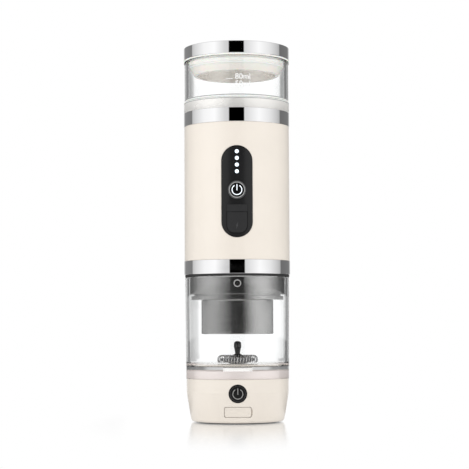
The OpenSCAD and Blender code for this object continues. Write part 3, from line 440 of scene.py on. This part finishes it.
# Charge mark on the flap, a plain bolt
BOLT_UP, BOLT_LIFT, PANEL_R = 4.6, 0.02, 34.95
BOLT = [((0.55, 2.0), (0.75, 2.0)), ((-0.75, -0.1), (0.25, 0.35)),
        ((-0.25, -0.35), (0.75, 0.1)), ((-0.75, -2.0), (-0.55, -2.0))]
bolt_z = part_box("port_flap")[0].z / MM + BOLT_UP
bolt = [tuple((x, z + bolt_z) for x, z in row) for row in BOLT]
inlay("charge_mark", [bolt], round_front(PANEL_R), print_dark, "port_flap", "flap_rubber", lift=BOLT_LIFT)

# Volume marks on the tank
TANK_R = 34.6
FONT_SIZE, FONT_WEIGHT = 5.18, 0.06
WELD = 1e-6  # metres
PRINT_IN, PRINT_OUT = 0.01, 0.05  # the print's two faces over the wall
MARKS = ((80, 221.8), (50, 217.1))  # volume in ml and height
MARK_X = -1.0
LINE_X, LINE_W = (-7.0, -4.7, -2.4), 0.35


def label(name, words, x, z, r, mat, body):
    """Plain figures bent round the front of a cylinder of radius r."""
    curve = bpy.data.curves.new(name, "FONT")
    curve.body = words
    curve.size = FONT_SIZE * MM
    curve.offset = FONT_WEIGHT * MM
    made = bpy.data.objects.new(name, curve)
    scene.collection.objects.link(made)
    mesh = bpy.data.meshes.new_from_object(made.evaluated_get(bpy.context.evaluated_depsgraph_get()))
    bpy.data.objects.remove(made)
    bm = bmesh.new()
    bm.from_mesh(mesh)
    bmesh.ops.remove_doubles(bm, verts=bm.verts, dist=WELD)
    back = bmesh.ops.extrude_face_region(bm, geom=bm.faces[:])
    moved = {v for v in back["geom"] if isinstance(v, bmesh.types.BMVert)}
    for v in bm.verts:
        a = (v.co.x / MM + x) / r
        out = r + (PRINT_IN if v in moved else PRINT_OUT)
        v.co = Vector((out * math.sin(a) * MM, -out * math.cos(a) * MM, v.co.y + z * MM))
    bmesh.ops.recalc_face_normals(bm, faces=bm.faces)
    bm.to_mesh(mesh)
    bm.free()
    add(name, mesh, mat, body)


for volume, z in MARKS:
    label(f"tank_mark_{volume}", f"{volume}ml", MARK_X, z, TANK_R,
          print_white, "upper_unit")
lines = [[((x, z), (x, z + LINE_W)) for x in LINE_X] for volume, z in MARKS]
inlay("tank_lines", lines, round_front(TANK_R),
      print_white, "upper_unit", "white_silicone", lift=PRINT_OUT, depth=-PRINT_IN)


def turned(name, profile, mat, body, slot, sides=144):
    """A ring turned round the axis from a closed outline of (radius, height) points."""
    count = len(profile)
    verts, faces = [], []
    for i in range(sides):
        a = 2 * math.pi * i / sides
        verts += [(r * math.cos(a) * MM, r * math.sin(a) * MM, z * MM) for r, z in profile]
        p, q = i * count, (i + 1) % sides * count
        faces += [(p + k, q + k, q + (k + 1) % count, p + (k + 1) % count) for k in range(count)]
    return piece(name, verts, faces, mat, body, slot, smooth=True)


def band(name, r0, r1, z0, z1, mat, body, slot):
    """A plain ring between two radii and two heights."""
    turned(name, [(r0, z0), (r1, z0), (r1, z1), (r0, z1)], mat, body, slot)


# White drive pad and its grey plate, set in the cup's clear floor round the seat of the stirrer. The pad's
# glow is painted light, which keeps it bright under the floor.
PAD_R, PAD_BORE, PLATE_BORE = 6.55, 6.25, 2.0
PAD_Z, PAD_TOP = 33.36, 35.6
PLATE_Z, PLATE_TOP = 35.7, 36.2
band("drive_pad", PAD_BORE, PAD_R, PAD_Z, PAD_TOP, pad_white_painted_glow, "frother", "white_silicone")
band("drive_plate", PLATE_BORE, PAD_R, PLATE_Z, PLATE_TOP, plate_grey, "frother", "steel")

# Pearly skin on the inside of the hollow plug. Its faint glow is painted light, which lifts the shade in
# the hollow.
PLUG_Z, PLUG_TOP, PLUG_R, PLUG_TOP_R, PLUG_HOLE, SKIN = 228.75, 235.35, 26.0, 25.65, 0.5, 0.15
turned("plug_liner", [
    (PLUG_R, PLUG_Z), (PLUG_TOP_R, PLUG_TOP), (PLUG_HOLE, PLUG_TOP), (PLUG_HOLE, PLUG_TOP - SKIN),
    (PLUG_TOP_R - SKIN, PLUG_TOP - SKIN), (PLUG_R - SKIN, PLUG_Z)], pearl_liner_painted_glow, "cap", "plug_plastic")

# Satin sleeve on the inside of the tank's foot. Its upper edge is painted with the light and shade of a
# rounded lip: a white band of painted highlight between two grey lines of painted shade. Like the skirt's
# band, it is let into the clear wall.
SLEEVE_R, SKIRT_R = 32.1, 31.5
BAND_OUT, BAND_IN = 0.05, 0.15  # how far a band stands out of the wall, and how deep it is let in
SLEEVE = (
    ("tank_sleeve", 201.0, 209.8, collar_satin, "steel"),
    ("sleeve_painted_shade_line", 209.8, 210.3, painted_shade_grey, "steel"),
    ("sleeve_painted_highlight", 210.3, 211.9, silicone, "white_silicone"),
    ("sleeve_painted_top_shade", 211.9, 212.5, painted_shade_grey, "steel"))
for name, z0, z1, mat, slot in SLEEVE:
    band(name, SLEEVE_R - BAND_OUT, SLEEVE_R + BAND_IN, z0, z1, mat, "upper_unit", slot)

# Pearly band on the inside of the cup's skirt, over the collar of the base
SKIRT_Z, SKIRT_TOP = 28.7, 33.8
band("skirt_band", SKIRT_R - BAND_OUT, SKIRT_R + BAND_IN, SKIRT_Z, SKIRT_TOP,
     pearl_cream, "frother", "cream_plastic")

# Whisk coil: three unbroken runs of round wire, at the places of the CAD runs
WHISK_R, COIL_R, COIL_Z = 10.5, 2.8, 40.8
WIRE_D, WIRE_SIDES = 0.6, 12
TURNS, TURN_STEPS = 11, 24
RUN_STARTS, RUN_ANGLE = (90, 210, 330), 120
SPOKE_W, SPOKE_GAP = 2.2, 0.03


def coil_point(a, m):
    """A point of the coil's centre line and its direction out of the coil, at an angle round the whisk
    and an angle round the coil."""
    a, m = math.radians(a), math.radians(m)
    out = Vector((math.cos(m) * math.cos(a), math.cos(m) * math.sin(a), math.sin(m)))
    middle = Vector((WHISK_R * math.cos(a), WHISK_R * math.sin(a), COIL_Z))
    return middle + out * COIL_R, out


def coil_run(start):
    """One run from spoke to spoke, with a short straight lead at each end."""
    inner = WHISK_R - COIL_R
    edge = math.degrees(math.asin((SPOKE_W / 2 + SPOKE_GAP) / inner))
    lead = edge + math.degrees(WIRE_D / inner)
    steps = TURNS * TURN_STEPS
    path = [coil_point(start + edge, 180)]
    path += [coil_point(start + lead + (RUN_ANGLE - 2 * lead) * i / steps, 180 + 360 / TURN_STEPS * i)
             for i in range(steps + 1)]
    path += [coil_point(start + RUN_ANGLE - edge, 180)]
    return path


def wire(paths):
    """Points and faces of round wires with closed ends along paths of (point, side) pairs."""
    verts, faces = [], []
    k = WIRE_SIDES
    for path in paths:
        start, last = len(verts), len(path) - 1
        for i, (middle, side) in enumerate(path):
            along = (path[min(i + 1, last)][0] - path[max(i - 1, 0)][0]).normalized()
            u = (side - along * side.dot(along)).normalized()
            w = along.cross(u)
            for j in range(k):
                a = 2 * math.pi * j / k
                verts.append((middle + (u * math.cos(a) + w * math.sin(a)) * WIRE_D / 2) * MM)
        for i in range(last):
            p, q = start + i * k, start + (i + 1) * k
            faces += [(p + j, p + (j + 1) % k, q + (j + 1) % k, q + j) for j in range(k)]
        faces.append(tuple(range(start, start + k)))
        faces.append(tuple(range(start + last * k, start + (last + 1) * k)))
    return verts, faces


coil = piece("whisk_coil_wire", *wire([coil_run(start) for start in RUN_STARTS]),
             wire_steel, "whisk", "steel", smooth=True)
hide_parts("whisk_coil")


# Floor, light and camera. Sizes and places are in metres.

def stage_material(name):
    """A new material for the stage, with nodes."""
    m = bpy.data.materials.new(name)
    m.use_nodes = True
    return m


def stage_mesh(name, verts, faces, mat):
    """A mesh that belongs to the stage and not to the part."""
    mesh = bpy.data.meshes.new(name)
    mesh.from_pydata(verts, [], faces)
    mesh.materials.append(mat)
    obj = bpy.data.objects.new(name, mesh)
    scene.collection.objects.link(obj)
    return obj


def seen_by_eye(tree):
    """1 on camera, glossy and transmission rays."""
    path = node(tree, "LightPath")
    direct = combined(tree, "MAXIMUM", path.outputs["Is Camera Ray"], path.outputs["Is Glossy Ray"])
    return combined(tree, "MAXIMUM", direct, path.outputs["Is Transmission Ray"])


# White floor: half its own light so that the shadow stays faint, a sheen at low angles, and plain
# white further out
FLOOR_HALF = 6
FLOOR_TONE = (0.9, 0.9, 0.9, 1)
OWN_LIGHT = 0.5
SHEEN_ROUGH, SHEEN_IOR = 0.16, 1.5
SHADOW_WIDTH = 2.5  # how much sooner the floor turns white to the sides than to the front
SHADOW_NEAR, SHADOW_FAR = 0.06, 0.26


def floor_material():
    """The floor's layers, from matt white and its own light to plain white."""
    m = stage_material("floor_white")
    tree = m.node_tree
    eye = seen_by_eye(tree)
    glow = node(tree, "Emission").outputs["Emission"]
    matt = node(tree, "BsdfDiffuse", {"Color": FLOOR_TONE})
    sheen = node(tree, "BsdfGlossy", {"Color": WHITE, "Roughness": SHEEN_ROUGH})
    fresnel = node(tree, "Fresnel", {"IOR": SHEEN_IOR})
    place = node(tree, "TexCoord")
    widen = node(tree, "Mapping", {"Scale": (SHADOW_WIDTH, 1, 1)})
    away = node(tree, "VectorMath")
    away.operation = "LENGTH"
    fade = node(tree, "MapRange", {"From Min": SHADOW_NEAR, "From Max": SHADOW_FAR})
    fade.interpolation_type = "SMOOTHSTEP"
    share = node(tree, "Math", {1: OWN_LIGHT})
    share.operation = "MULTIPLY"
    tree.links.new(eye, share.inputs[0])
    tree.links.new(place.outputs["Object"], widen.inputs["Vector"])
    tree.links.new(widen.outputs["Vector"], away.inputs[0])
    tree.links.new(away.outputs["Value"], fade.inputs["Value"])
    under = mixed(tree, share.outputs[0], matt.outputs["BSDF"], glow)
    near = mixed(tree, fresnel.outputs["Fac"], under, sheen.outputs["BSDF"])
    far = combined(tree, "MULTIPLY", fade.outputs["Result"], eye)
    tree.links.new(mixed(tree, far, near, glow), tree.nodes["Material Output"].inputs["Surface"])
    return m


corners = [(x * FLOOR_HALF, y * FLOOR_HALF, 0) for x, y in ((-1, -1), (1, -1), (1, 1), (-1, 1))]
stage_mesh("floor", corners, [(0, 1, 2, 3)], floor_material())

# The room: even light on the object and white behind it
ROOM_LIGHT = 0.66
world = bpy.data.worlds.new("studio")
scene.world = world
world.use_nodes = True
room = world.node_tree
even = room.nodes["Background"]
even.inputs["Color"].default_value = WHITE
even.inputs["Strength"].default_value = ROOM_LIGHT
white = node(room, "Background", {"Color": WHITE})
room.links.new(mixed(room, seen_by_eye(room), even.outputs["Background"], white.outputs["Background"]),
               room.nodes["World Output"].inputs["Surface"])

# A ring of pale panels and dark flags round the set, with a ceiling, which only metal, gloss and
# clear plastic show. It has six rows, one over the other. A row is a list of angles, in degrees
# from the camera to the right, each with its tone. The outer angles, behind the object, show through
# the clear walls; the IN lists hold the others, which show in metal.
FLOOR_LEFT = [(-180, 1.1), (-171, 1.1), (-170, 0.63), (-158, 0.6)]
FLOOR_RIGHT = [(158, 0.55), (170, 0.63), (171, 1.1), (180, 1.1)]
CUP_LEFT = [
    (-180, 1.1), (-172.4, 1.1), (-171.4, 0.68), (-164, 0.66), (-162.3, 0.37), (-160, 0.36), (-158.8, 0.9),
    (-156.3, 0.9)]
CUP_RIGHT = [(156, 0.52), (161.5, 0.58), (162.5, 1.1), (180, 1.1)]
TANK_LEFT = [
    (-180, 1.1), (-169.3, 1.1), (-168.5, 0.7), (-164.5, 0.52), (-162, 0.39), (-159.5, 0.39), (-158.3, 0.58),
    (-155.5, 0.56)]
TANK_RIGHT = [(155.5, 0.5), (158.5, 0.57), (160, 0.41), (167, 0.43), (168.4, 1.1), (180, 1.1)]
IN_CHROME = [
    (-152, 0.25), (-112.5, 0.21), (-111, 0.56), (-100, 0.72), (-74, 0.98), (-48, 1.06), (-25, 0.72),
    (-16.6, 0.66), (-16.2, 0.0), (16.2, 0.0), (16.6, 0.72), (25, 0.8), (49, 1.04), (74, 0.86), (98, 0.58),
    (106, 0.46), (107.5, 0.16), (152, 0.2)]
IN_COLLAR = [
    (-152, 0.25), (-133, 0.12), (-113, 0.38), (-90, 0.79), (-66, 1.03), (-56, 0.97), (-29, 0.33),
    (-15, 0.08), (14, 0.06), (19, 0.3), (29, 0.74), (44, 1.17), (60, 1.32), (71, 1.17), (90, 0.62),
    (112, 0.22), (132, 0.08), (152, 0.2)]
IN_PORTAFILTER = [
    (-152, 0.25), (-146, 0.32), (-137, 0.57), (-111, 0.79), (-91, 0.87), (-74, 0.79), (-51, 0.51),
    (-30, 0.25), (-17, 0.09), (16, 0.06), (21, 0.09), (28, 0.3), (41, 0.72), (55, 1.04), (70, 1.23),
    (87, 1.2), (106, 1.03), (132, 0.65), (146, 0.3), (152, 0.2)]
CEILING = [(-180, 0.7), (-110, 0.5), (0, 0.62), (110, 0.5), (180, 0.7)]
LOWEST_ROW = FLOOR_LEFT + IN_CHROME + FLOOR_RIGHT
SHARP, SOFT = 0.001, 0.2
ROWS = (  # lower edge, blur of that edge, panels
    (0.016, SHARP, CUP_LEFT + IN_CHROME + CUP_RIGHT),
    (0.036, SHARP, CUP_LEFT + IN_PORTAFILTER + CUP_RIGHT),
    (0.0992, SHARP, CUP_LEFT + IN_COLLAR + CUP_RIGHT),
    (0.1345, SHARP, TANK_LEFT + IN_CHROME + TANK_RIGHT),
    (0.85, SOFT, CEILING))


def turn_share(angle):
    """An angle's place on a ramp, which runs from 0 behind the object to 1 after a full turn."""
    return 0.5 + angle / 360


def panel_row(tree, around, panels):
    """The tones of one row of panels."""
    ramp = node(tree, "ValToRGB")
    stops = ramp.color_ramp.elements
    for angle, tone in panels[1:-1]:
        stops.new(turn_share(angle))
    for stop, (angle, tone) in zip(stops, panels):
        stop.position = turn_share(angle)
        stop.color = (tone, tone, tone, 1)
    tree.links.new(around, ramp.inputs["Fac"])
    return ramp.outputs["Color"]


def above(tree, height, edge, blur, lower, upper):
    """The lower row up to an edge and the upper row over it."""
    step = node(tree, "MapRange", {"From Min": edge - blur, "From Max": edge + blur})
    mix = node(tree, "Mix")
    mix.data_type = "RGBA"
    tree.links.new(height, step.inputs["Value"])
    tree.links.new(step.outputs["Result"], mix.inputs["Factor"])
    tree.links.new(lower, mix.inputs["A"])
    tree.links.new(upper, mix.inputs["B"])
    return mix.outputs["Result"]


def panel_material():
    """Glowing panels, which show only on the side that faces the object."""
    m = stage_material("studio_panels")
    m.cycles.emission_sampling = "NONE"
    tree = m.node_tree
    place = node(tree, "TexCoord")
    turn = node(tree, "Mapping", {"Rotation": (0, 0, math.pi / 2)})
    around = node(tree, "TexGradient")
    around.gradient_type = "RADIAL"
    split = node(tree, "SeparateXYZ")
    tree.links.new(place.outputs["Object"], turn.inputs["Vector"])
    tree.links.new(place.outputs["Object"], split.inputs["Vector"])
    tree.links.new(turn.outputs["Vector"], around.inputs["Vector"])
    tones = panel_row(tree, around.outputs["Fac"], LOWEST_ROW)
    for edge, blur, panels in ROWS:
        row = panel_row(tree, around.outputs["Fac"], panels)
        tones = above(tree, split.outputs["Z"], edge, blur, tones, row)
    glow = node(tree, "Emission")
    tree.links.new(tones, glow.inputs["Color"])
    facing = node(tree, "NewGeometry")
    through = node(tree, "BsdfTransparent")
    panel = mixed(tree, facing.outputs["Backfacing"], glow.outputs["Emission"], through.outputs["BSDF"])
    tree.links.new(panel, tree.nodes["Material Output"].inputs["Surface"])
    return m


STRIP_STEP = 2  # degrees
RING_R, RING_TOP, CEILING_HOLE = 1.2, 2.2, 0.01
CLOTH_Z, CLOTH_FAR = 0.0005, 1.19
# Dark cloths on the floor: at both sides for the edges of the skirt and the base, and far back for
# the cup's floor. Each has its near edge and its first and last angle.
CLOTHS = ((0.06, -150, -104), (0.06, 104, 150), (0.7, -170, -150), (0.7, 150, 170))


def strip(verts, faces, lower, upper, first=-180, last=180):
    """Adds a strip round the axis between two edges, each with its radius and height, and two angles."""
    start, count = len(verts), (last - first) // STRIP_STEP + 1
    for r, z in (lower, upper):
        for i in range(count):
            a = math.radians(first + STRIP_STEP * i)
            verts.append((r * math.sin(a), -r * math.cos(a), z))
    for p in range(start, start + count - 1):
        faces.append((p, p + count, p + count + 1, p + 1))


verts, faces = [], []
strip(verts, faces, (RING_R, CLOTH_Z), (RING_R, RING_TOP))
strip(verts, faces, (RING_R, RING_TOP), (CEILING_HOLE, RING_TOP))
for near_edge, first, last in CLOTHS:
    strip(verts, faces, (near_edge, CLOTH_Z), (CLOTH_FAR, CLOTH_Z), first, last)
studio_ring = stage_mesh("studio_ring", verts, faces, panel_material())
studio_ring.visible_camera = False
studio_ring.visible_diffuse = False
studio_ring.visible_shadow = False

LAMP_AIM = Vector((0, 0, 0.1))


def softbox(name, place, size, watts):
    """A square lamp turned towards the object, which gloss doesn't show."""
    lamp = bpy.data.lights.new(name, "AREA")
    lamp.shape = "SQUARE"
    lamp.size = size
    lamp.energy = watts
    obj = bpy.data.objects.new(name, lamp)
    obj.location = place
    obj.rotation_euler = (LAMP_AIM - Vector(place)).to_track_quat("-Z", "Y").to_euler()
    obj.visible_glossy = False
    scene.collection.objects.link(obj)


softbox("softbox_left", (-1.25, -0.8, 0.5), size=1.0, watts=8.5)
softbox("softbox_right", (1.25, -0.7, 0.45), size=1.0, watts=7.2)
softbox("softbox_top", (0, -0.1, 1.6), size=1.2, watts=6)

# The photograph's view: camera place, tilt up and roll, in metres and radians, and the lens in mm
CAMERA_PLACE = Vector((-0.0017, -1.0316, 0.0622))
TILT, ROLL = 0.059231, 0.004284
SENSOR, LENS = 36, 119.72
CLIP_START = 0.01
ahead = Vector((0, math.cos(TILT), math.sin(TILT)))
level_up = Vector((0, -math.sin(TILT), math.cos(TILT)))
right = Vector((math.cos(ROLL), 0, 0)) - level_up * math.sin(ROLL)
up = Vector((math.sin(ROLL), 0, 0)) + level_up * math.cos(ROLL)
camera = bpy.data.cameras.new("photo_camera")
camera.sensor_width = SENSOR
camera.lens = LENS
camera.clip_start = CLIP_START
camera_obj = bpy.data.objects.new("photo_camera", camera)
scene.collection.objects.link(camera_obj)
pose = Matrix((right, up, -ahead)).transposed().to_4x4()
pose.translation = CAMERA_PLACE
camera_obj.matrix_world = pose
scene.camera = camera_obj

bpy.context.view_layer.update()
